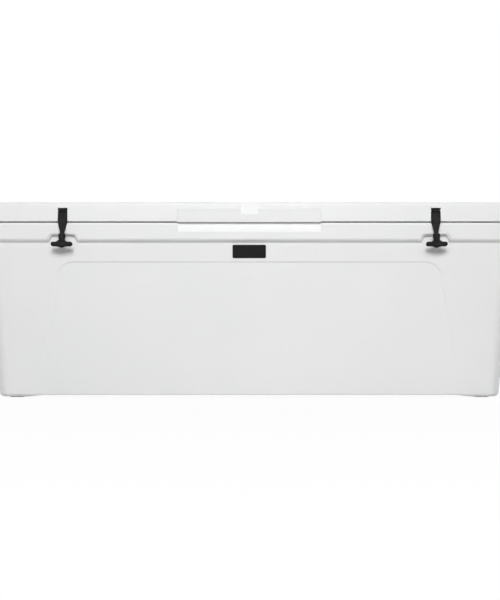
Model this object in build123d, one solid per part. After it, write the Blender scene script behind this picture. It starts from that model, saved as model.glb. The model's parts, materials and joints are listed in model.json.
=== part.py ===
from build123d import *
import os
from math import atan2, cos, radians, sin

# A large rotomoulded ice chest: a foam-filled tub, a foam-filled hinged lid and two rubber latches.
# Millimetres. X runs along the chest, the latches face -Y, Z is up and the feet stand on Z = 0.

# Overall sizes
collar_length = 1576.0
collar_depth = 590.0
total_height = 566.0
lid_height = 56.0
parting_gap = 3.0
collar_height = 53.5
foot_stand = 3.0

# Tub walls, which lean in towards the base, and the collar round their top
collar_radius = 46.0
collar_under_round = 10.0
collar_wall = 19.0
rim_round = 6.0
end_overhang = 22.0
side_overhang = 13.0
end_draft = 34.0
side_draft = 24.0
wall_radius = 40.0
under_collar_round = 5.0
base_round = 12.0
skin = 5.0

# Hollow between the four corner pads of the base
base_relief = 5.5
pad_length = 82.0
pad_depth = 95.0
pad_slope = 52.0

# Ice chamber
mouth_inset = 72.0
mouth_radius = 42.0
mouth_round = 4.0
chamber_draft = 28.0
chamber_floor = 70.0
floor_round = 24.0

# Shallow panel in the front and rear walls, deepest at its top edge
panel_drop = 62.0
panel_fade = 70.0
panel_top_width = 1094.0
panel_foot_width = 1200.0
panel_radius = 45.0
panel_depth = 2.5
panel_step_angle = 62.0

# Blank name plate on the front wall
badge_width = 96.5
badge_height = 38.5
badge_radius = 4.0
badge_thickness = 2.5
badge_seat = 1.0
badge_drop = 29.0

# Lift lip at the middle of the lid's front edge and the finger scoop below it
lip_width = 415.0
lip_proud = 2.5
lip_drop = 2.2
lip_height = 42.2
lip_bevel = 4.0
lip_root = 12.0
thumb_notch_width = 49.0
thumb_notch_height = 35.0
thumb_notch_depth = 13.0
scoop_width = 411.0
scoop_height = 27.0
scoop_depth = 8.0

# Lid
lid_draft = 3.0
lid_under_round = 2.5
lid_top_round = 10.0
deck_inset = 50.0
deck_radius = 40.0
deck_depth = 3.0
deck_step_angle = 45.0
plug_gap = 8.0
plug_drop = 24.0
plug_draft = 4.0
plug_round = 6.0
gasket_inset = 52.0
gasket_width = 11.0
gasket_groove = 5.0
gasket_round = 3.0
gasket_gap = 0.3
lid_edge_wall = 23.0

# Rubber latches, each hung on a pin in the lid
latch_inset = 252.0
eye_drop = 25.25
eye_inset = 8.0
eye_radius = 7.25
eye_width = 24.5
strap_thickness = 8.0
shoulder_width = 25.5
shoulder_drop = 32.0
taper_drop = 62.0
neck_width = 12.0
bulb_drop = 69.3
bulb_radius = 10.5
bulb_rim = 5.0
bulb_waist = 8.0
bulb_round = 3.0
bulb_depth = 17.0
grip_drop = 93.0
grip_width = 61.5
grip_end_height = 12.5
grip_belly = 4.0
belly_reach = 17.0
flare_radius = 15.0
flare_rise = 5.0
grip_thickness = 14.0
latch_round = 1.6
grip_round = 4.0
latch_hooked_angle = 3.5
latch_rest_angle = 13.8
latch_pin_radius = 3.0
latch_pin_bearing = 9.0
latch_gap = 1.3
latch_ceiling_gap = 0.8

# Notch under the collar that the latch's bulb hooks into
notch_low_width = 94.0
notch_high_width = 70.0
notch_radius = 8.0
notch_depth = 13.6
notch_flare = 5.0
notch_bevel = 3.0

# Hinges: interlocking moulded knuckles on two long pins
hinge_setback = 5.0
barrel_radius = 15.0
barrel_gap = 1.5
knuckle_gap = 1.0
hinge_inset = 148.0
inner_knuckle = 70.0
lid_knuckle = 260.0
outer_knuckle = 78.0
web_height = 36.0
web_root = 10.0
hinge_pin_radius = 5.0
hinge_pin_wall = 8.0
retainer_inset = 14.0
retainer_radius = 2.5
retainer_head_radius = 5.0
retainer_head = 3.0
retainer_sink = 4.0
retainer_length = 24.0

# Hand grips and tie-down slots under the collar at both ends
end_lip = 16.0
grip_hole_width = 300.0
finger_gap = 26.0
finger_rise = 28.0
finger_round = 8.0
grip_fall = 87.0
tie_width = 44.0
tie_gap = 13.0
tie_offset = 205.0
tie_bar_height = 26.0
tie_window = 15.0

# Oblong padlock holes through the front corners
lock_inset = 28.0
lock_hole_length = 16.0
lock_hole_width = 11.0
lock_hole_radius = 3.0
lock_tab = 14.0
lock_pocket_radius = 26.0
lock_pocket_low = 22.0
lock_fade = 50.0
lock_fade_radius = 6.0

# Drain low in the right-hand end wall
drain_height = 88.0
drain_sink = 8.0
drain_recess_radius = 35.0
drain_tube_radius = 20.0
drain_bore_radius = 15.0
drain_flange_radius = 29.0
drain_flange = 5.0
drain_gasket_thickness = 2.0
drain_nut_radius = 30.0
drain_nut_height = 7.0
drain_nut_sink = 3.0
drain_tube_end = 2.0
plug_shank = 26.0
plug_head_radius = 25.0
plug_head = 7.0
plug_grip_width = 12.0
plug_grip_length = 42.0
plug_grip_height = 12.0
plug_grip_round = 3.0
seal_thickness = 3.0
seal_radius = 21.0
seal_gap = 0.15

# Feet, their screws, and the plugs that close the foam filling ports
foot_size = 46.0
foot_radius = 14.0
foot_sink = 6.0
foot_bevel = 1.5
foot_inset = 50.0
foot_screw_radius = 2.5
foot_screw_head_radius = 5.0
foot_screw_head = 3.0
foot_screw_length = 22.0
foot_screw_sink = 4.5
foot_boss_radius = 24.0
foot_boss_rise = 8.0
port_radius = 16.0
port_inset = 438.0
lid_port_inset = 338.0
port_bevel = 1.0

# Fits
running_gap = 0.08
seat_gap = 0.05
cut_over = 2.0

# Places that follow from the sizes above
half_length = collar_length / 2
half_depth = collar_depth / 2
lid_bottom = total_height - lid_height
rim_top = lid_bottom - parting_gap
collar_bottom = rim_top - collar_height
wall_height = collar_bottom - foot_stand
panel_top = collar_bottom - panel_drop
badge_middle = collar_bottom - badge_drop
grip_fade = collar_bottom - grip_fall
top_half_length = half_length - end_overhang
top_half_depth = half_depth - side_overhang
low_half_length = top_half_length - end_draft
low_half_depth = top_half_depth - side_draft
base_bottom = foot_stand + base_relief
foam_bottom = base_bottom + skin
foam_top = rim_top - skin
mouth_half_length = half_length - mouth_inset
mouth_half_depth = half_depth - mouth_inset
plug_bottom = lid_bottom - plug_drop
latch_x = half_length - latch_inset
eye_y = -half_depth + eye_inset
eye_z = total_height - eye_drop
notch_ceiling = eye_z - bulb_drop * cos(radians(latch_hooked_angle)) + latch_ceiling_gap
channel_depth = eye_inset + strap_thickness / 2 + latch_gap
pocket_depth = eye_inset + eye_radius + latch_gap
pocket_half = shoulder_width / 2 + latch_gap
hinge_y = half_depth + hinge_setback
hinge_z = rim_top + parting_gap / 2
outer_knuckle_end = half_length - hinge_inset
outer_knuckle_start = outer_knuckle_end - outer_knuckle
lid_knuckle_end = outer_knuckle_start - knuckle_gap
lid_knuckle_start = lid_knuckle_end - lid_knuckle
hinge_inner_end = lid_knuckle_start - knuckle_gap - inner_knuckle
retainer_x = outer_knuckle_end - retainer_inset
lock_x = half_length - lock_inset
lock_y = -half_depth + lock_inset
foot_x = low_half_length - foot_inset
foot_y = low_half_depth - foot_inset
foot_top = foot_stand + foot_sink


def end_wall_x(z):
    """Half length of the tub's outer wall at height z."""
    return low_half_length + end_draft * (z - foot_stand) / wall_height


def side_wall_y(z):
    """Half depth of the tub's outer wall at height z."""
    return low_half_depth + side_draft * (z - foot_stand) / wall_height


def chamber_x(z):
    """Half length of the ice chamber at height z."""
    return mouth_half_length - chamber_draft * (rim_top - z) / (rim_top - chamber_floor)


drain_face = end_wall_x(drain_height) - drain_sink
drain_flange_face = drain_face + drain_gasket_thickness + drain_flange
drain_nut_face = chamber_x(drain_height) + drain_nut_sink
plug_head_face = drain_flange_face + seal_thickness + 2 * seal_gap


def box_between(low, high):
    """Box from its lowest to its highest corner."""
    middle = [(a + b) / 2 for a, b in zip(low, high)]
    return Pos(*middle) * Box(*[b - a for a, b in zip(low, high)])


def rounded_prism(length, depth, radius, z_low, z_high):
    return extrude(Pos(0, 0, z_low) * RectangleRounded(length, depth, radius), z_high - z_low)


def profile_prism(plane, points, reach):
    """Prism of an outline drawn on a plane, reaching as far to one side of it as to the other."""
    return extrude(plane * make_face(Polyline(points, close=True)), amount=reach, both=True)


def tapered_block(low, high, radius):
    """Block with leaning sides and round corners between two outlines, each length, depth and height."""
    along = mirrored([(length / 2, z) for length, _, z in (low, high)])
    across = mirrored([(depth / 2, z) for _, depth, z in (low, high)])
    block = profile_prism(Plane.XZ, along, half_length) & profile_prism(Plane.YZ, across, half_length)
    corners = [e for e in block.edges() if abs(e.tangent_at(0.5).Z) > 0.5]
    return fillet(corners, radius)


def cylinder_along_x(x_low, x_high, y, z, radius):
    return Pos((x_low + x_high) / 2, y, z) * Rot(0, 90, 0) * Cylinder(radius, x_high - x_low)


def cylinder_between(x, y, z_low, z_high, radius):
    return Pos(x, y, (z_low + z_high) / 2) * Cylinder(radius, z_high - z_low)


def span(side, near, far):
    """Lower and higher X of a stretch that lies between two distances from the middle."""
    return sorted((side * near, side * far))


def front_prism(x_middle, points, y_front, y_back):
    """Prism of an outline drawn in X and Z, cut backwards from y_front."""
    outline = make_face(Polyline([(x_middle + x, z) for x, z in points], close=True))
    return extrude(Plane.XZ.offset(-y_front) * outline, amount=-(y_back - y_front))


def mirrored(points):
    """Outline closed by the mirror image of its right-hand points."""
    return points + [(-x, z) for x, z in reversed(points)]


# Tub


def chamber_form(grow):
    """Ice chamber, grown on every side by the given amount."""
    mouth = (2 * (mouth_half_length + grow), 2 * (mouth_half_depth + grow), rim_top)
    floor_half_length = chamber_x(chamber_floor) + grow
    floor_half_depth = mouth_half_depth - chamber_draft + grow
    floor = (2 * floor_half_length, 2 * floor_half_depth, chamber_floor - grow)
    form = tapered_block(floor, mouth, mouth_radius + grow)
    return fillet(form.edges().group_by(Axis.Z)[0], floor_round)


def tub_form():
    """Outside of the tub without its details, open at the chamber."""
    low = (2 * low_half_length, 2 * low_half_depth, foot_stand)
    high = (2 * top_half_length, 2 * top_half_depth, collar_bottom)
    wall = tapered_block(low, high, wall_radius)
    wall = fillet(wall.edges().group_by(Axis.Z)[0], base_round)
    collar = rounded_prism(collar_length, collar_depth, collar_radius, collar_bottom, rim_top)
    collar = fillet(collar.edges().group_by(Axis.Z)[0], collar_under_round)
    collar = fillet(collar.edges().group_by(Axis.Z)[-1], rim_round)
    form = wall + collar
    under_edges = form.edges().filter_by_position(Axis.Z, collar_bottom - 0.1, collar_bottom + 0.1)
    under_edges = [e for e in under_edges if abs(e.center().X) < top_half_length + 1]
    under_edges = [e for e in under_edges if abs(e.center().Y) < top_half_depth + 1]
    form = fillet(under_edges, under_collar_round) - chamber_form(0)
    rim_edges = form.edges().group_by(Axis.Z)[-1]
    mouth_edges = [e for e in rim_edges if abs(e.center().X) <= mouth_half_length + 1]
    mouth_edges = [e for e in mouth_edges if abs(e.center().Y) <= mouth_half_depth + 1]
    return fillet(mouth_edges, mouth_round)


def base_hollow():
    """Shallow hollows across the base that leave four corner pads."""
    low = foot_stand - cut_over
    over = cut_over / base_relief * pad_slope
    reach_x = low_half_length - pad_length
    reach_y = low_half_depth - pad_depth
    along = mirrored([(reach_x + over, low), (reach_x - pad_slope, base_bottom)])
    across = mirrored([(reach_y + over, low), (reach_y - pad_slope, base_bottom)])
    return profile_prism(Plane.XZ, along, half_depth) + profile_prism(Plane.YZ, across, half_length)


def wall_plane(height, side):
    """Plane on the front (-1) or rear (+1) wall, X along the chest and Y up the wall."""
    tilt = atan2(side_draft, wall_height)
    normal = (0, side * cos(tilt), -sin(tilt))
    return Plane(origin=(0, side * side_wall_y(height), height), x_dir=(-side, 0, 0), z_dir=normal)


def panel_cut(side):
    """Panel recess with flared sides, whose floor runs out into the wall near the base."""
    plane = wall_plane(panel_top, side)
    drop = panel_top - panel_fade
    above = panel_radius
    slope = panel_depth / (drop + above)
    top_half = panel_top_width / 2
    foot_half = panel_foot_width / 2
    run_out = base_round
    outline = make_face(Polyline(mirrored([(top_half, 0), (foot_half, -drop - run_out)]), close=True))
    outline = fillet(outline.vertices().group_by(Axis.Y)[-1], panel_radius)
    floor = plane.offset(-panel_depth)
    prism = extrude(floor * outline, amount=2 * panel_depth, taper=-panel_step_angle)
    side_view = Plane(origin=plane.origin, x_dir=plane.y_dir, z_dir=plane.x_dir)
    wedge = Polyline(
        (above, -panel_depth),
        (above, 2 * panel_depth),
        (-drop - run_out, 2 * panel_depth),
        (-drop - run_out, slope * run_out),
        close=True,
    )
    return prism & extrude(side_view * make_face(wedge), amount=foot_half, both=True)


def scoop_cut():
    """Finger scoop in the collar's top edge, under the lid's lift lip."""
    low = rim_top - scoop_height
    back = -half_depth + scoop_depth
    sag = scoop_depth / 6
    curve = ThreePointArc(
        (-half_depth, low),
        (-half_depth + scoop_depth / 2 + sag / 2, low + scoop_height / 2 - sag),
        (back, rim_top),
    )
    rest = Polyline(
        (back, rim_top),
        (back, rim_top + cut_over),
        (-half_depth - cut_over, rim_top + cut_over),
        (-half_depth - cut_over, low),
        (-half_depth, low),
    )
    return extrude(Plane.YZ * make_face(curve + rest), amount=scoop_width / 2, both=True)


def notch_outline(y, x, grow, rise):
    """Notch outline at a depth behind the front, widened at each side and raised by the given amounts."""
    low = collar_bottom - under_collar_round - cut_over
    low_half = notch_low_width / 2 + grow
    high_half = notch_high_width / 2 + grow
    outline = make_face(Polyline(mirrored([(low_half, low), (high_half, notch_ceiling + rise)]), close=True))
    outline = fillet(outline.vertices().group_by(Axis.Y)[-1], notch_radius)
    return Plane.XZ.offset(half_depth - y) * Pos(x, 0) * outline


def latch_notch_cut(x):
    """Flared notch under the collar, with a bevelled edge, and the channel that the strap and neck lie in."""
    front = notch_outline(-cut_over, x, 0, 0)
    back = notch_outline(notch_depth, x, -notch_flare, 0)
    mouth = notch_outline(-notch_bevel, x, 2 * notch_bevel, 2 * notch_bevel)
    throat = notch_outline(notch_bevel, x, 0, 0)
    neck_half = neck_width / 2 + latch_gap
    channel = mirrored(
        [
            (pocket_half, rim_top + cut_over),
            (pocket_half, eye_z - shoulder_drop - latch_gap),
            (neck_half, eye_z - taper_drop - latch_gap),
            (neck_half, notch_ceiling - cut_over),
        ]
    )
    strap_room = front_prism(x, channel, -half_depth - cut_over, -half_depth + channel_depth)
    return loft([front, back], ruled=True) + loft([mouth, throat], ruled=True) + strap_room


def end_prism(side, y_middle, width, points):
    """Prism across an end, from points given as distance in from the collar's end face and height."""
    outline = [(side * (half_length - d), z) for d, z in points]
    return profile_prism(Plane.XZ.offset(-y_middle), outline, width / 2)


def hand_grip_cut(side, grow):
    """Hand hold: the fingers curl up behind the collar's end lip."""
    top = collar_bottom + finger_rise + grow
    lip = end_lip - grow
    back = end_lip + finger_gap + grow
    fade = half_length - end_wall_x(grip_fade)
    points = [
        (back, top),
        (lip, top),
        (lip, collar_bottom - cut_over),
        (fade - cut_over, grip_fade),
        (fade + grow, grip_fade),
    ]
    cut = end_prism(side, 0, grip_hole_width + 2 * grow, points)
    return fillet(cut.edges().filter_by(Axis.Y).group_by(Axis.Z)[-1], finger_round)


def tie_slot_cut(side, y, grow):
    """Tie-down slot: a strap goes up behind the bar of the collar and out of the window above it."""
    back = end_lip + tie_gap + grow
    bar_top = collar_bottom + tie_bar_height - grow
    window_top = collar_bottom + tie_bar_height + tie_window + grow
    low = foot_stand + wall_height * (half_length - back - low_half_length) / end_draft
    points = [
        (back, window_top),
        (-cut_over, window_top),
        (-cut_over, bar_top),
        (end_lip - grow, bar_top),
        (end_lip - grow, low),
        (back, low),
    ]
    return end_prism(side, y, tie_width + 2 * grow, points)


def lock_pocket_cut(side, grow):
    """Pocket under the collar's front corner that bares the tab with the padlock hole."""
    x = side * lock_x
    radius = lock_pocket_radius + grow
    low = collar_bottom - lock_pocket_low
    pocket = cylinder_between(x, lock_y, low, rim_top - lock_tab + grow, radius)
    fade = Pos(x, lock_y, low - lock_fade / 2) * Cone(lock_fade_radius + grow, radius, lock_fade)
    return pocket + fade


def lock_hole(side, z_low, z_high):
    outline = RectangleRounded(lock_hole_length, lock_hole_width, lock_hole_radius)
    return extrude(Pos(side * lock_x, lock_y, z_low) * outline, z_high - z_low)


def knuckle(x_low, x_high, seat_low, seat_high):
    """Hinge knuckle: a barrel and the web that carries it on the rear face."""
    barrel = Pos(hinge_y, hinge_z) * Circle(barrel_radius)
    seat_place = Pos(half_depth - web_root / 2, (seat_low + seat_high) / 2)
    seat = seat_place * Rectangle(web_root, seat_high - seat_low)
    outline = make_hull(barrel.edges() + seat.edges())
    return extrude(Plane.YZ.offset(x_low) * outline, amount=x_high - x_low)


def tub_knuckle_spans():
    spans = []
    for side in (-1, 1):
        spans.append(span(side, hinge_inner_end, hinge_inner_end + inner_knuckle))
        spans.append(span(side, outer_knuckle_start, outer_knuckle_end))
    return spans


def lid_knuckle_spans():
    return [span(side, lid_knuckle_start, lid_knuckle_end) for side in (-1, 1)]


def barrel_relief(low, high):
    """Room for a knuckle of the other part to turn in."""
    radius = barrel_radius + barrel_gap
    return cylinder_along_x(low - knuckle_gap, high + knuckle_gap, hinge_y, hinge_z, radius)


def retainer_place(side):
    return Pos(side * retainer_x, hinge_y + barrel_radius - retainer_sink, hinge_z) * Rot(90, 0, 0)


def foot_places():
    return {
        "foot_front_left": (-foot_x, -foot_y),
        "foot_front_right": (foot_x, -foot_y),
        "foot_rear_left": (-foot_x, foot_y),
        "foot_rear_right": (foot_x, foot_y),
    }


def port_places(inset):
    return [(inset - half_length, 0), (half_length - inset, 0)]


def drain_cut():
    """Recess, through bore and nut seat of the drain in the tub wall."""
    recess = cylinder_along_x(drain_face, half_length, 0, drain_height, drain_recess_radius)
    bore = cylinder_along_x(0, drain_face + cut_over, 0, drain_height, drain_tube_radius + seat_gap)
    seat = cylinder_along_x(0, drain_nut_face, 0, drain_height, drain_nut_radius + seat_gap)
    return recess + bore + seat


def make_body_foam():
    """Foam between the tub's outer wall and its liner, clear of every pocket."""
    low = (2 * (end_wall_x(foam_bottom) - skin), 2 * (side_wall_y(foam_bottom) - skin), foam_bottom)
    high = (2 * (end_wall_x(foam_top) - skin), 2 * (side_wall_y(foam_top) - skin), foam_top)
    foam = tapered_block(low, high, wall_radius - skin) - chamber_form(skin)
    collar_room = (collar_length - 2 * collar_wall, collar_depth - 2 * collar_wall)
    foam &= rounded_prism(*collar_room, collar_radius - collar_wall, 0, total_height)
    for side in (-1, 1):
        foam -= hand_grip_cut(side, skin)
        foam -= lock_pocket_cut(side, skin)
        for y in (-tie_offset, tie_offset):
            foam -= tie_slot_cut(side, y, skin)
    for x, y in foot_places().values():
        foam -= cylinder_between(x, y, 0, foot_top + foot_boss_rise + foot_screw_length, foot_boss_radius)
    foam -= cylinder_along_x(drain_face - skin, half_length, 0, drain_height, drain_recess_radius + skin)
    foam -= cylinder_along_x(0, drain_nut_face + skin, 0, drain_height, drain_nut_radius + skin)
    return foam - cylinder_along_x(0, half_length, 0, drain_height, drain_tube_radius + seat_gap)


def make_body_shell(foam):
    shell = tub_form() - base_hollow()
    for side in (-1, 1):
        shell -= panel_cut(side)
        shell -= latch_notch_cut(side * latch_x)
        shell -= hand_grip_cut(side, 0)
        shell -= lock_pocket_cut(side, 0)
        shell -= lock_hole(side, collar_bottom, rim_top + cut_over)
        for y in (-tie_offset, tie_offset):
            shell -= tie_slot_cut(side, y, 0)
    shell -= scoop_cut()
    web_low = collar_bottom + collar_under_round
    for low, high in tub_knuckle_spans():
        shell += knuckle(low, high, web_low, web_low + web_height)
    for low, high in lid_knuckle_spans():
        shell -= barrel_relief(low, high)
    for side in (-1, 1):
        low, high = span(side, hinge_inner_end + hinge_pin_wall, outer_knuckle_end + cut_over)
        shell -= cylinder_along_x(low, high, hinge_y, hinge_z, hinge_pin_radius + seat_gap)
        shell -= retainer_place(side) * retainer_form(seat_gap, retainer_sink)
    shell -= drain_cut()
    shell -= badge_block(seat_gap)
    for x, y in foot_places().values():
        shell -= Pos(x, y, 0) * extrude(RectangleRounded(foot_size, foot_size, foot_radius), foot_top)
        shell -= cylinder_between(x, y, 0, foot_screw_sink + foot_screw_length, foot_screw_radius + seat_gap)
    for x, y in port_places(port_inset):
        shell -= cylinder_between(x, y, 0, foam_bottom + cut_over, port_radius)
    return shell - foam


# Lid


def lid_deck_cut():
    """Shallow sunk deck in the lid's top."""
    outline = RectangleRounded(collar_length - 2 * deck_inset, collar_depth - 2 * deck_inset, deck_radius)
    floor = Plane.XY.offset(total_height - deck_depth)
    return extrude(floor * outline, amount=2 * deck_depth, taper=-deck_step_angle)


def lid_plug(inset):
    """Part of the lid that fits into the chamber's mouth, made smaller by an inset."""
    length = 2 * (mouth_half_length - plug_gap - inset)
    depth = 2 * (mouth_half_depth - plug_gap - inset)
    low = (length - 2 * plug_draft, depth - 2 * plug_draft, plug_bottom + inset)
    return tapered_block(low, (length, depth, lid_bottom + inset), mouth_radius - plug_gap - inset)


def lid_form():
    low = (collar_length, collar_depth, lid_bottom)
    high = (collar_length - 2 * lid_draft, collar_depth - 2 * lid_draft, total_height)
    form = tapered_block(low, high, collar_radius)
    form = fillet(form.edges().group_by(Axis.Z)[0], lid_under_round)
    form = fillet(form.edges().group_by(Axis.Z)[-1], lid_top_round)
    plug = lid_plug(0)
    return form + fillet(plug.edges().group_by(Axis.Z)[0], plug_round)


def lift_lip():
    """Proud lip at the middle of the lid's front edge."""
    front = -half_depth - lip_proud
    low = lid_bottom - lip_drop
    high = low + lip_height
    lip = box_between((-lip_width / 2, front, low), (lip_width / 2, -half_depth + lip_root, high))
    front_edges = lip.edges().group_by(Axis.Y)[0]
    lip = chamfer(front_edges.group_by(Axis.Z)[-1], lip_bevel)
    rounds = lip.edges().filter_by(Axis.Z).group_by(Axis.Y)[0]
    rounds += lip.edges().filter_by(Axis.X).group_by(Axis.Z)[0]
    return fillet(rounds.filter_by_position(Axis.Y, front - 1, front + 1), lip_bevel / 2)


def thumb_notch_cut():
    """Sloped notch for the thumb through the middle of the lift lip, up to the lid's top."""
    front = -half_depth - lip_proud
    low = total_height - thumb_notch_height
    slope = thumb_notch_depth / thumb_notch_height
    points = [
        (front - cut_over, low - cut_over / slope),
        (front + thumb_notch_depth + cut_over * slope, total_height + cut_over),
        (front - cut_over, total_height + cut_over),
    ]
    return profile_prism(Plane.YZ, points, thumb_notch_width / 2)


def latch_pocket_cut(x):
    """Pocket in the lid's front face that the latch hangs in."""
    low = (x - pocket_half, -half_depth - lip_proud, lid_bottom - cut_over)
    high = (x + pocket_half, -half_depth + pocket_depth, eye_z + eye_radius + latch_gap)
    return box_between(low, high)


def latch_pin_span(x, gap):
    reach = pocket_half + latch_pin_bearing + gap
    return cylinder_along_x(x - reach, x + reach, eye_y, eye_z, latch_pin_radius + gap)


def gasket_ring(z_low, z_high):
    outer = rounded_prism(
        collar_length - 2 * gasket_inset + gasket_width,
        collar_depth - 2 * gasket_inset + gasket_width,
        mouth_radius,
        z_low,
        z_high,
    )
    inner = rounded_prism(
        collar_length - 2 * gasket_inset - gasket_width,
        collar_depth - 2 * gasket_inset - gasket_width,
        mouth_radius - gasket_width,
        z_low,
        z_high,
    )
    return outer - inner


def make_lid_foam():
    edge = 2 * lid_edge_wall
    low = lid_bottom + gasket_groove + skin
    high = total_height - deck_depth - skin
    slab = rounded_prism(collar_length - edge, collar_depth - edge, collar_radius - lid_edge_wall, low, high)
    plug = lid_plug(skin)
    bridge_top = lid_bottom + skin
    bridge = rounded_prism(
        2 * (mouth_half_length - plug_gap - skin),
        2 * (mouth_half_depth - plug_gap - skin),
        mouth_radius - plug_gap - skin,
        bridge_top,
        low,
    )
    foam = slab + bridge + plug
    for side in (-1, 1):
        foam -= cylinder_between(side * lock_x, lock_y, lid_bottom, total_height, lock_pocket_radius + skin)
    return foam


def make_lid_shell(foam):
    shell = lid_form() - lid_deck_cut() + lift_lip() - thumb_notch_cut()
    for low, high in lid_knuckle_spans():
        shell += knuckle(low, high, lid_bottom + lid_under_round, lid_bottom + lid_under_round + web_height)
    for low, high in tub_knuckle_spans():
        shell -= barrel_relief(low, high)
    for side in (-1, 1):
        x = side * latch_x
        shell -= latch_pocket_cut(x)
        shell -= latch_pin_span(x, seat_gap)
        low, high = span(side, hinge_inner_end, outer_knuckle_end)
        shell -= cylinder_along_x(low, high, hinge_y, hinge_z, hinge_pin_radius + running_gap)
        tab_top = lid_bottom + lock_tab
        shell -= cylinder_between(side * lock_x, lock_y, tab_top, total_height + cut_over, lock_pocket_radius)
        shell -= lock_hole(side, lid_bottom - cut_over, total_height)
    shell -= gasket_ring(lid_bottom - cut_over, lid_bottom + gasket_groove)
    for x, y in port_places(lid_port_inset):
        shell -= cylinder_between(x, y, plug_bottom - cut_over, plug_bottom + skin, port_radius)
    return shell - foam


def make_gasket():
    ring = gasket_ring(rim_top + gasket_gap, lid_bottom + gasket_groove)
    return fillet(ring.edges().group_by(Axis.Z)[0], gasket_round)


# Latches


def latch_grip():
    """T-shaped finger bar with round ends, a belly below and a flare up to the bulb above its middle."""
    end_round = grip_end_height / 2
    straight = grip_width / 2 - end_round
    top = -grip_drop
    low = top - grip_end_height
    upper = Line((-straight, top), (straight, top))
    right = ThreePointArc((straight, top), (straight + end_round, top - end_round), (straight, low))
    right_foot = Line((straight, low), (belly_reach, low))
    level = [(-1, 0), (-1, 0)]
    belly = Spline((belly_reach, low), (0, low - grip_belly), (-belly_reach, low), tangents=level)
    left_foot = Line((-belly_reach, low), (-straight, low))
    left = ThreePointArc((-straight, low), (-straight - end_round, top - end_round), (-straight, top))
    outline = make_face(upper + right + right_foot + belly + left_foot + left)
    bar = extrude(Plane.XZ * outline, amount=grip_thickness / 2, both=True)
    bar = fillet(bar.edges().group_by(Axis.Y)[0] + bar.edges().group_by(Axis.Y)[-1], grip_round)
    slope = mirrored([(bulb_waist, top + flare_rise), (flare_radius, top), (flare_radius, top - end_round)])
    return bar + profile_prism(Plane.XZ, slope, grip_thickness / 2 - grip_round / 2)


def latch_form():
    """Latch hanging straight down from its eye, which is at the origin."""
    eye = Rot(0, 90, 0) * Cylinder(eye_radius, eye_width)
    eye = chamfer(eye.edges(), latch_round)
    outline = mirrored(
        [
            (eye_width / 2, 0),
            (shoulder_width / 2, -shoulder_drop),
            (neck_width / 2, -taper_drop),
            (neck_width / 2, -bulb_drop - bulb_rim / 2),
        ]
    )
    strap = profile_prism(Plane.XZ, outline, strap_thickness / 2)
    strap = fillet(strap.edges().group_by(Axis.Y)[0] + strap.edges().group_by(Axis.Y)[-1], latch_round)
    profile = Polyline(
        (0, -bulb_drop),
        (bulb_radius, -bulb_drop),
        (bulb_radius, -bulb_drop - bulb_rim),
        (bulb_waist, -grip_drop - latch_round),
        (0, -grip_drop - latch_round),
        close=True,
    )
    bulb = revolve(Plane.XZ * make_face(profile), Axis.Z)
    bulb = fillet(bulb.edges().group_by(Axis.Z)[-1], bulb_round)
    bulb &= Pos(0, 0, -bulb_drop) * Box(4 * bulb_radius, bulb_depth, 2 * grip_drop)
    bore = Rot(0, 90, 0) * Cylinder(latch_pin_radius + running_gap, eye_width + cut_over)
    return eye + strap + bulb + latch_grip() - bore


def make_latch(x):
    return Pos(x, eye_y, eye_z) * Rot(-latch_rest_angle, 0, 0) * latch_form()


# Small pieces


def badge_block(gap):
    plane = wall_plane(badge_middle, -1)
    outline = RectangleRounded(badge_width + 2 * gap, badge_height + 2 * gap, badge_radius)
    return extrude(plane.offset(-badge_seat) * outline, amount=badge_thickness)


def make_badge():
    badge = badge_block(0)
    return chamfer(badge.faces().sort_by(Axis.Y)[0].edges(), badge_seat / 2)


def make_hinge_pin(side):
    low, high = span(side, hinge_inner_end + hinge_pin_wall, retainer_x - retainer_radius - 2 * seat_gap)
    return cylinder_along_x(low, high, hinge_y, hinge_z, hinge_pin_radius)


def retainer_form(gap, sink):
    """Pan-head screw pointing along +Z from under its head; grown by a gap it makes its own hole."""
    shank = Pos(0, 0, retainer_length / 2) * Cylinder(retainer_radius + gap, retainer_length)
    head = Pos(0, 0, -sink / 2) * Cylinder(retainer_head_radius + gap, sink)
    return shank + head


def make_retainers():
    screws = []
    for side in (-1, 1):
        screw = retainer_form(0, retainer_head)
        screw = chamfer(screw.edges().group_by(Axis.Z)[0], retainer_head / 3)
        screws.append(retainer_place(side) * screw)
    return Compound(children=screws)


def make_foot(x, y):
    foot = extrude(RectangleRounded(foot_size, foot_size, foot_radius), foot_top)
    foot = chamfer(foot.edges().group_by(Axis.Z)[0], foot_bevel)
    foot -= Cylinder(foot_screw_radius + seat_gap, 2 * foot_top + cut_over)
    foot -= cylinder_between(0, 0, 0, foot_screw_sink, foot_screw_head_radius + seat_gap)
    return Pos(x, y, 0) * foot


def make_foot_screws():
    screws = []
    seat = foot_screw_sink
    for x, y in foot_places().values():
        shank = cylinder_between(x, y, seat, seat + foot_screw_length, foot_screw_radius)
        head = cylinder_between(x, y, seat - foot_screw_head, seat, foot_screw_head_radius)
        head = chamfer(head.edges().group_by(Axis.Z)[0], foot_screw_head / 3)
        screws.append(shank + head)
    return Compound(children=screws)


def make_port_plugs(places, z_low, z_high):
    """Discs welded flush into the foam filling ports."""
    plugs = []
    for x, y in places:
        disc = cylinder_between(x, y, z_low, z_high, port_radius)
        plugs.append(chamfer(disc.edges().group_by(Axis.Z)[0], port_bevel))
    return Compound(children=plugs)


# Drain


def make_drain_insert():
    tube_end = drain_nut_face - drain_nut_height - drain_tube_end
    flange_back = drain_face + drain_gasket_thickness
    tube = cylinder_along_x(tube_end, drain_flange_face, 0, drain_height, drain_tube_radius)
    flange = cylinder_along_x(flange_back, drain_flange_face, 0, drain_height, drain_flange_radius)
    bore = cylinder_along_x(tube_end - 1, drain_flange_face + 1, 0, drain_height, drain_bore_radius)
    return tube + flange - bore


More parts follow.
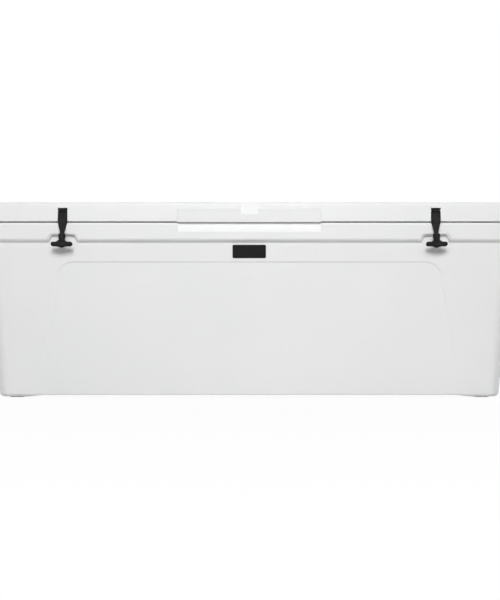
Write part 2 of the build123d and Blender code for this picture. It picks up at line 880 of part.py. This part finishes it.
def make_drain_gasket():
    high = drain_face + drain_gasket_thickness
    ring = cylinder_along_x(drain_face, high, 0, drain_height, drain_flange_radius)
    return ring - cylinder_along_x(0, half_length, 0, drain_height, drain_tube_radius + seat_gap)


def make_drain_nut():
    outline = RegularPolygon(drain_nut_radius, 6) - Circle(drain_tube_radius + seat_gap)
    nut = extrude(Plane.YZ.offset(drain_nut_face - drain_nut_height) * outline, amount=drain_nut_height)
    return Pos(0, 0, drain_height) * nut


def make_drain_seal():
    low = drain_flange_face + seal_gap
    high = low + seal_thickness
    ring = cylinder_along_x(low, high, 0, drain_height, seal_radius)
    return ring - cylinder_along_x(low - 1, high + 1, 0, drain_height, drain_bore_radius + seal_gap)


def make_drain_plug():
    head_end = plug_head_face + plug_head
    head = cylinder_along_x(plug_head_face, head_end, 0, drain_height, plug_head_radius)
    head = chamfer(head.edges().group_by(Axis.X)[-1], plug_head / 3)
    shank_end = plug_head_face - plug_shank
    shank = cylinder_along_x(shank_end, plug_head_face, 0, drain_height, drain_bore_radius - running_gap)
    shank = chamfer(shank.edges().group_by(Axis.X)[0], plug_head / 3)
    grip = box_between(
        (head_end - 1, -plug_grip_length / 2, drain_height - plug_grip_width / 2),
        (head_end + plug_grip_height, plug_grip_length / 2, drain_height + plug_grip_width / 2),
    )
    grip = fillet(grip.edges().filter_by(Axis.X) + grip.edges().group_by(Axis.X)[-1], plug_grip_round)
    return head + shank + grip


def make_parts():
    body_foam = make_body_foam()
    lid_foam = make_lid_foam()
    parts = {
        "body_shell": make_body_shell(body_foam),
        "body_foam": body_foam,
        "lid_shell": make_lid_shell(lid_foam),
        "lid_foam": lid_foam,
        "lid_gasket": make_gasket(),
        "badge_plate": make_badge(),
        "hinge_pin_screws": make_retainers(),
        "foot_screws": make_foot_screws(),
        "body_port_plugs": make_port_plugs(port_places(port_inset), base_bottom, foam_bottom),
        "lid_port_plugs": make_port_plugs(port_places(lid_port_inset), plug_bottom, plug_bottom + skin),
        "drain_insert": make_drain_insert(),
        "drain_gasket": make_drain_gasket(),
        "drain_nut": make_drain_nut(),
        "drain_seal": make_drain_seal(),
        "drain_plug": make_drain_plug(),
    }
    for name, side in (("left", -1), ("right", 1)):
        x = side * latch_x
        parts[f"latch_{name}"] = make_latch(x)
        parts[f"latch_pin_{name}"] = latch_pin_span(x, 0)
        parts[f"hinge_pin_{name}"] = make_hinge_pin(side)
    for name, (x, y) in foot_places().items():
        parts[name] = make_foot(x, y)
    return parts


os.makedirs("parts", exist_ok=True)
for name, solid in make_parts().items():
    export_step(solid, f"parts/{name}.step")
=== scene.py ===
import bmesh
import bpy
import json
from math import pi, radians
from mathutils import Matrix, Vector


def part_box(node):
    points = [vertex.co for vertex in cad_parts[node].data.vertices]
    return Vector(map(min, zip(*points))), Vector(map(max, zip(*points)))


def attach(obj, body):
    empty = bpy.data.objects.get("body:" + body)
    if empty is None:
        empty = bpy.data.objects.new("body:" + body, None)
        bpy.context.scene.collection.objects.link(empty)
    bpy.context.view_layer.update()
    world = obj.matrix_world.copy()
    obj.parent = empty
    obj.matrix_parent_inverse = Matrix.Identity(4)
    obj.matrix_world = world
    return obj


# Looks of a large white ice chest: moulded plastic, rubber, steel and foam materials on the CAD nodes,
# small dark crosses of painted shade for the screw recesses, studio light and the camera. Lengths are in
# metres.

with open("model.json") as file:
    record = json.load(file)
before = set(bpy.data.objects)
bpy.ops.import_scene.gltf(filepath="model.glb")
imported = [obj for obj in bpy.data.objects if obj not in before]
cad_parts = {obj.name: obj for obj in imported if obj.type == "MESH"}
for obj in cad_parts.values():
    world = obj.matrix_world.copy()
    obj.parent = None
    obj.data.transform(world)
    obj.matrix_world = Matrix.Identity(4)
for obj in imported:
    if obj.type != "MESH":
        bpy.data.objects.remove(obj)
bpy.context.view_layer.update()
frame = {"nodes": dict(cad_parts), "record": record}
nodes = frame["nodes"]
MM = 0.001

# Thread of the drain plug and drive recesses of the screws
THREAD_PITCH = 5.0 * MM
THREAD_HEIGHT = 1.2 * MM
RECESS_ARM = 3.1 * MM
RECESS_HALF_WIDTH = 0.62 * MM
RECESS_DEPTH = 0.4 * MM
RECESS_RISE = 0.06 * MM
# The inner face of a recess's flat top is this share of its outline
RECESS_INNER = 0.8
# Points of an outer face lie this close to it, and those of one screw head this close together
FACE_SLACK = 0.01 * MM
HEAD_REACH = 50.0 * MM

# Values of a noise texture mostly lie in these ranges; the narrower one gives more contrast
NOISE_RANGE = (0.3, 0.7)
NOISE_MIDDLE = (0.35, 0.65)
NO_TO_FULL = (0.0, 1.0)
# Cosines of the turn at which an edge starts to show and shows fully
EDGE_TURN = (0.999, 0.93)
# The wave texture turns by this many radians per metre at a scale of 1
WAVE_RADIANS = 20.0

# Studio
FLOOR_RADIUS = 7.0
FLOOR_SIDES = 96
FLOOR_DROP = 0.2 * MM
SHADOW_REACH = (0.8, 2.0)
FLOOR_WHITE = (0.95, 1.0)
FILL_STRENGTH = 0.155
WHITE_STRENGTH = 1.0
CAMERA_PLACE = (2.3 * MM, -3.295, 0.2845)
CAMERA_LENS = 62.7
SENSOR_WIDTH = 36.0


# Node helpers


class Shader:
    """A material's node tree with short calls for the nodes used here."""

    def __init__(self, name):
        self.material = bpy.data.materials.new(name)
        self.material.use_nodes = True
        self.tree = self.material.node_tree
        self.bsdf = self.tree.nodes["Principled BSDF"]
        self.place = self.new("ShaderNodeTexCoord").outputs["Object"]

    def new(self, kind, **settings):
        node = self.tree.nodes.new(kind)
        for key, value in settings.items():
            setattr(node, key, value)
        return node

    def link(self, source, target):
        self.tree.links.new(source, target)

    def stretched(self, scale):
        """Object coordinates stretched along the axes."""
        node = self.new("ShaderNodeMapping")
        node.inputs["Scale"].default_value = scale
        self.link(self.place, node.inputs["Vector"])
        return node.outputs["Vector"]

    def noise(self, scale, detail=2.0, roughness=0.5, place=None):
        node = self.new("ShaderNodeTexNoise")
        node.inputs["Scale"].default_value = scale
        node.inputs["Detail"].default_value = detail
        node.inputs["Roughness"].default_value = roughness
        self.link(place or self.place, node.inputs["Vector"])
        return node.outputs["Fac"]

    def cells(self, scale):
        node = self.new("ShaderNodeTexVoronoi")
        node.inputs["Scale"].default_value = scale
        self.link(self.place, node.inputs["Vector"])
        return node.outputs["Distance"]

    def spread(self, value, source, target):
        """Maps a value's range to another, held at the ends."""
        node = self.new("ShaderNodeMapRange")
        for key, number in zip(("From Min", "From Max", "To Min", "To Max"), (*source, *target)):
            node.inputs[key].default_value = number
        self.link(value, node.inputs["Value"])
        return node.outputs["Result"]

    def times(self, first, second):
        node = self.new("ShaderNodeMath", operation="MULTIPLY")
        self.link(first, node.inputs[0])
        self.link(second, node.inputs[1])
        return node.outputs[0]

    def mixed(self, share, first, second):
        """Colour between two others, each a colour or a link."""
        # Inputs 6 and 7 and output 2 are the colours among the mix node's sockets
        node = self.new("ShaderNodeMix", data_type="RGBA")
        self.link(share, node.inputs["Factor"])
        for socket, colour in ((node.inputs[6], first), (node.inputs[7], second)):
            if isinstance(colour, tuple):
                socket.default_value = (*colour, 1.0)
            else:
                self.link(colour, socket)
        return node.outputs[2]

    def edges(self, radius):
        """1 along sharp and tightly rounded edges, 0 on plain faces."""
        bevel = self.new("ShaderNodeBevel", samples=4)
        bevel.inputs["Radius"].default_value = radius
        turn = self.new("ShaderNodeVectorMath", operation="DOT_PRODUCT")
        self.link(bevel.outputs["Normal"], turn.inputs[0])
        self.link(self.new("ShaderNodeNewGeometry").outputs["Normal"], turn.inputs[1])
        return self.spread(turn.outputs["Value"], EDGE_TURN, NO_TO_FULL)

    def bump(self, *layers):
        """Bump from layers of a height value and its depth in metres."""
        normal = None
        for value, depth in layers:
            node = self.new("ShaderNodeBump")
            node.inputs["Distance"].default_value = depth
            self.link(value, node.inputs["Height"])
            if normal is not None:
                self.link(normal, node.inputs["Normal"])
            normal = node.outputs["Normal"]
        self.link(normal, self.bsdf.inputs["Normal"])

    def colour(self, value):
        self.link(value, self.bsdf.inputs["Base Color"])

    def roughness(self, value):
        self.link(value, self.bsdf.inputs["Roughness"])

    def constant(self, socket, value):
        self.bsdf.inputs[socket].default_value = value


# Materials


def moulded_white():
    """Rotomoulded polyethylene: clouded white, satin, with orange peel, fine grain and a few pinholes."""
    s = Shader("moulded_white")
    clouds = s.spread(s.noise(2.4, detail=3.0), NOISE_RANGE, NO_TO_FULL)
    tone = s.mixed(clouds, (0.815, 0.82, 0.822), (0.85, 0.85, 0.848))
    scuff = s.times(s.edges(2.5 * MM), s.spread(s.noise(70.0, detail=4.0), (0.5, 0.66), (0.0, 0.3)))
    s.colour(s.mixed(scuff, tone, (0.73, 0.73, 0.722)))
    s.roughness(s.spread(s.noise(38.0, detail=4.0), NOISE_RANGE, (0.38, 0.52)))
    peel = s.noise(130.0, detail=1.0)
    grain = s.noise(1500.0, detail=2.0)
    pinholes = s.spread(s.cells(330.0), (0.0, 0.11), NO_TO_FULL)
    s.bump((peel, 0.16 * MM), (grain, 0.05 * MM), (pinholes, 0.05 * MM))
    s.constant("Specular IOR Level", 0.42)
    s.constant("Subsurface Weight", 0.06)
    s.constant("Subsurface Radius", (3.0 * MM, 2.8 * MM, 2.5 * MM))
    return s.material


def moulded_rubber(name, dark, light, rough):
    """Moulded rubber: near black, mottled, matte, with a dusty bloom along the edges."""
    s = Shader(name)
    mottle = s.spread(s.noise(55.0, detail=4.0), NOISE_MIDDLE, NO_TO_FULL)
    bloom = s.times(s.edges(1.2 * MM), s.spread(s.noise(140.0, detail=3.0), NOISE_MIDDLE, (0.15, 0.75)))
    dusty = tuple(2.2 * c + 0.012 for c in light)
    s.colour(s.mixed(bloom, s.mixed(mottle, dark, light), dusty))
    band = 0.08
    s.roughness(s.spread(s.noise(90.0, detail=3.0), NOISE_RANGE, (rough - band, rough + band)))
    s.bump((s.noise(420.0, detail=1.0), 0.05 * MM), (s.noise(2600.0, detail=2.0), 0.03 * MM))
    s.constant("Specular IOR Level", 0.1)
    return s.material


def brushed_steel():
    """Stainless rod: fine scratches round and along it, with patches of duller metal."""
    s = Shader("brushed_steel")
    lines = s.noise(240.0, detail=6.0, roughness=0.75, place=s.stretched((0.05, 1.0, 1.0)))
    rings = s.noise(900.0, detail=3.0, place=s.stretched((1.0, 0.08, 0.08)))
    patches = s.spread(lines, NOISE_RANGE, NO_TO_FULL)
    s.colour(s.mixed(patches, (0.48, 0.48, 0.485), (0.64, 0.64, 0.63)))
    s.roughness(s.spread(lines, NOISE_RANGE, (0.24, 0.42)))
    s.bump((lines, 0.02 * MM), (rings, 0.015 * MM))
    s.constant("Metallic", 1.0)
    return s.material


def thread_height(s):
    """Height of the thread on the plug's shank, 0 on its head."""
    turns = s.new("ShaderNodeTexWave", bands_direction="X")
    turns.inputs["Scale"].default_value = 2 * pi / (WAVE_RADIANS * THREAD_PITCH)
    s.link(s.place, turns.inputs["Vector"])
    axes = s.new("ShaderNodeSeparateXYZ")
    s.link(s.place, axes.inputs["Vector"])
    head_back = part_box("drain_seal")[1].x
    fade = (head_back - 0.5 * MM, head_back + 0.1 * MM)
    on_shank = s.spread(axes.outputs["X"], fade, (1.0, 0.0))
    return s.times(turns.outputs["Fac"], on_shank)


def black_nylon(name, threaded):
    """Drain fittings: black nylon with a fine spark-eroded texture; the plug's shank carries the thread."""
    s = Shader(name)
    tone = s.mixed(s.noise(45.0, detail=3.0), (0.016, 0.016, 0.017), (0.028, 0.028, 0.030))
    wear = s.times(s.edges(1.0 * MM), s.spread(s.noise(160.0, detail=3.0), (0.4, 0.6), (0.1, 0.7)))
    s.colour(s.mixed(wear, tone, (0.075, 0.075, 0.078)))
    s.roughness(s.spread(s.noise(120.0, detail=3.0), NOISE_RANGE, (0.36, 0.5)))
    layers = [(s.noise(1900.0, detail=2.0), 0.05 * MM)]
    if threaded:
        layers.append((thread_height(s), THREAD_HEIGHT))
    s.bump(*layers)
    return s.material


def cut_foam():
    """Poured polyurethane foam: straw coloured, with small closed cells."""
    s = Shader("cut_foam")
    cells = s.cells(420.0)
    s.colour(s.mixed(s.noise(14.0, detail=4.0), (0.70, 0.60, 0.38), (0.82, 0.73, 0.5)))
    s.roughness(s.spread(cells, (0.0, 0.6), (0.95, 0.75)))
    s.bump((cells, 0.5 * MM), (s.noise(60.0, detail=3.0), 1.0 * MM))
    return s.material


def plate_black():
    """Blank name plate: black satin laminate with a fine pebble and a paler worn rim."""
    s = Shader("plate_black")
    tone = s.mixed(s.noise(30.0, detail=3.0), (0.003, 0.003, 0.0032), (0.006, 0.006, 0.0063))
    rim = s.times(s.edges(0.8 * MM), s.spread(s.noise(200.0, detail=3.0), NOISE_MIDDLE, (0.2, 0.8)))
    s.colour(s.mixed(rim, tone, (0.055, 0.055, 0.057)))
    s.roughness(s.spread(s.noise(70.0, detail=3.0), NOISE_RANGE, (0.36, 0.48)))
    s.bump((s.cells(1300.0), 0.04 * MM))
    s.constant("Specular IOR Level", 0.15)
    return s.material


def painted_shade_recess():
    """Painted shade for a screw's drive recess: dark colour that stands in for the shade at its bottom, with
    traces of bare steel.
    """
    s = Shader("painted_shade_recess")
    s.colour(s.mixed(s.noise(800.0, detail=3.0), (0.03, 0.03, 0.031), (0.11, 0.11, 0.112)))
    s.roughness(s.spread(s.noise(500.0), NOISE_RANGE, (0.5, 0.7)))
    s.bump((s.noise(1500.0), 0.03 * MM))
    s.constant("Metallic", 0.7)
    return s.material


looks = {
    "white_plastic": moulded_white(),
    "black_rubber": moulded_rubber("latch_rubber", (0.006, 0.006, 0.0063), (0.011, 0.011, 0.0116), 0.55),
    "seal_rubber": moulded_rubber("seal_rubber", (0.05, 0.05, 0.052), (0.085, 0.085, 0.088), 0.7),
    "steel": brushed_steel(),
    "drain_plastic": black_nylon("drain_plastic", threaded=False),
    "foam": cut_foam(),
    "badge_plastic": plate_black(),
}
for part in frame["record"]["subparts"]:
    mesh = nodes[part["node"]].data
    mesh.materials.clear()
    mesh.materials.append(looks[part["material_slot"]])
nodes["drain_plug"].data.materials[0] = black_nylon("plug_plastic", threaded=True)


# Screw recesses, drawn as dark crosses of painted shade


def painted_shade_cross(name, place, facing, body, material):
    """Cross-shaped drive recess of a screw: a dark cross let into the head, just proud of its face, whose
    dark colour is painted shade.
    """
    arm, half = RECESS_ARM, RECESS_HALF_WIDTH
    outline = []
    for quarter in range(4):
        turn = Matrix.Rotation(quarter * pi / 2, 2)
        outline += [turn @ Vector(c) for c in ((arm, -half), (arm, half), (half, half))]
    mesh = bpy.data.meshes.new(name)
    shape = bmesh.new()
    rims = []
    for scale, height in ((1.0, -RECESS_DEPTH), (1.0, RECESS_RISE), (RECESS_INNER, RECESS_RISE)):
        rims.append([shape.verts.new((scale * x, scale * y, height)) for x, y in outline])
    for lower, upper in zip(rims, rims[1:]):
        for i in range(len(outline)):
            k = (i + 1) % len(outline)
            shape.faces.new((lower[i], lower[k], upper[k], upper[i]))
    shape.faces.new(rims[-1])
    shape.faces.new(list(reversed(rims[0])))
    shape.to_mesh(mesh)
    shape.free()
    mesh.materials.append(material)
    piece = bpy.data.objects.new(name, mesh)
    bpy.context.scene.collection.objects.link(piece)
    piece.matrix_world = Matrix.Translation(place) @ facing.to_track_quat("Z", "Y").to_matrix().to_4x4()
    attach(piece, body)


def heads_of(node, facing):
    """Middles of a node's screw heads, on the outer faces that look along facing."""
    found = []
    points = [v.co for v in nodes[node].data.vertices]
    outer = max(p.dot(facing) for p in points)
    for p in points:
        if p.dot(facing) < outer - FACE_SLACK:
            continue
        group = next((g for g in found if (g[0] - p).length < HEAD_REACH), None)
        if group is None:
            found.append([p])
        else:
            group.append(p)
    return [sum(g, Vector()) / len(g) for g in found]


# Dark colour of the screw recesses: painted shade, not the steel's own colour.
recess = painted_shade_recess()
rearward = Vector((0, 1, 0))
downward = Vector((0, 0, -1))
for number, middle in enumerate(heads_of("hinge_pin_screws", rearward)):
    painted_shade_cross(f"hinge_screw_shade_cross_{number}", middle, rearward, "tub", recess)
for number, middle in enumerate(heads_of("foot_screws", downward)):
    painted_shade_cross(f"foot_screw_shade_cross_{number}", middle, downward, "tub", recess)


# Floor, light and camera


def seen_directly(tree):
    """1 for rays that come from the camera or from a glossy or clear surface, else 0."""
    path = tree.nodes.new("ShaderNodeLightPath")
    seen = path.outputs["Is Camera Ray"]
    for kind in ("Is Glossy Ray", "Is Transmission Ray"):
        either = tree.nodes.new("ShaderNodeMath")
        either.operation = "MAXIMUM"
        tree.links.new(seen, either.inputs[0])
        tree.links.new(path.outputs[kind], either.inputs[1])
        seen = either.outputs[0]
    return seen


def add_floor():
    """Pale round floor that keeps the shadow near the chest and is plain white to the camera further out."""
    bpy.ops.mesh.primitive_circle_add(
        vertices=FLOOR_SIDES, radius=FLOOR_RADIUS, fill_type="NGON", location=(0, 0, -FLOOR_DROP)
    )
    floor = bpy.context.object
    floor.name = "floor"
    s = Shader("floor_white")
    s.colour(s.mixed(s.noise(1.2, detail=2.0), (0.66, 0.66, 0.66), (0.68, 0.68, 0.68)))
    s.roughness(s.spread(s.noise(12.0), NOISE_RANGE, (0.85, 0.95)))
    s.constant("Specular IOR Level", 0.1)
    reach = s.new("ShaderNodeVectorMath", operation="LENGTH")
    s.link(s.place, reach.inputs[0])
    white_share = s.spread(reach.outputs["Value"], SHADOW_REACH, FLOOR_WHITE)
    glow = s.new("ShaderNodeEmission")
    mix = s.new("ShaderNodeMixShader")
    s.link(s.times(seen_directly(s.tree), white_share), mix.inputs["Fac"])
    s.link(s.bsdf.outputs["BSDF"], mix.inputs[1])
    s.link(glow.outputs["Emission"], mix.inputs[2])
    s.link(mix.outputs["Shader"], s.tree.nodes["Material Output"].inputs["Surface"])
    floor.data.materials.append(s.material)


def set_world():
    """Even studio fill that looks plain white to the camera and in reflections."""
    world = bpy.data.worlds.new("studio")
    bpy.context.scene.world = world
    world.use_nodes = True
    tree = world.node_tree
    background = tree.nodes["Background"]
    background.inputs["Color"].default_value = (1.0, 1.0, 1.0, 1.0)
    strength = tree.nodes.new("ShaderNodeMapRange")
    strength.inputs["To Min"].default_value = FILL_STRENGTH
    strength.inputs["To Max"].default_value = WHITE_STRENGTH
    tree.links.new(seen_directly(tree), strength.inputs["Value"])
    tree.links.new(strength.outputs["Result"], background.inputs["Strength"])


def add_softbox(name, place, aim, size, power, spread=180, shines=True):
    """Rectangular lamp of a width and height; a spread under 180 degrees is a grid on its front."""
    light = bpy.data.lights.new(name, "AREA")
    light.shape = "RECTANGLE"
    light.size, light.size_y = size
    light.energy = power
    light.spread = radians(spread)
    lamp = bpy.data.objects.new(name, light)
    lamp.location = place
    lamp.visible_glossy = shines
    lamp.rotation_euler = (Vector(aim) - Vector(place)).to_track_quat("-Z", "Y").to_euler()
    bpy.context.scene.collection.objects.link(lamp)


def add_lamps():
    """Gridded key above the camera, a weak top light and two soft lamps for the rear and the ends."""
    add_softbox(
        "key", place=(0.0, -3.9, 2.75), aim=(0.0, -0.3, 0.5), size=(2.6, 1.3), power=35.4, spread=85
    )
    add_softbox("top", place=(0.0, -0.2, 2.8), aim=(0.0, -0.2, 0.0), size=(2.4, 1.6), power=6.0)
    for name, side in (("rear_left", -1), ("rear_right", 1)):
        place = (side * 4.0, 2.6, 2.0)
        add_softbox(name, place, aim=(0.0, 0.0, 0.3), size=(1.8, 1.4), power=100.0, shines=False)


def add_camera():
    """Straight on to the front, level, at the height of the chest's middle."""
    data = bpy.data.cameras.new("camera")
    data.sensor_width = SENSOR_WIDTH
    data.lens = CAMERA_LENS
    camera = bpy.data.objects.new("camera", data)
    camera.location = CAMERA_PLACE
    camera.rotation_euler = (radians(90), 0, 0)
    bpy.context.scene.collection.objects.link(camera)
    bpy.context.scene.camera = camera


add_floor()
set_world()
add_lamps()
add_camera()
bpy.context.scene.view_settings.view_transform = "Standard"
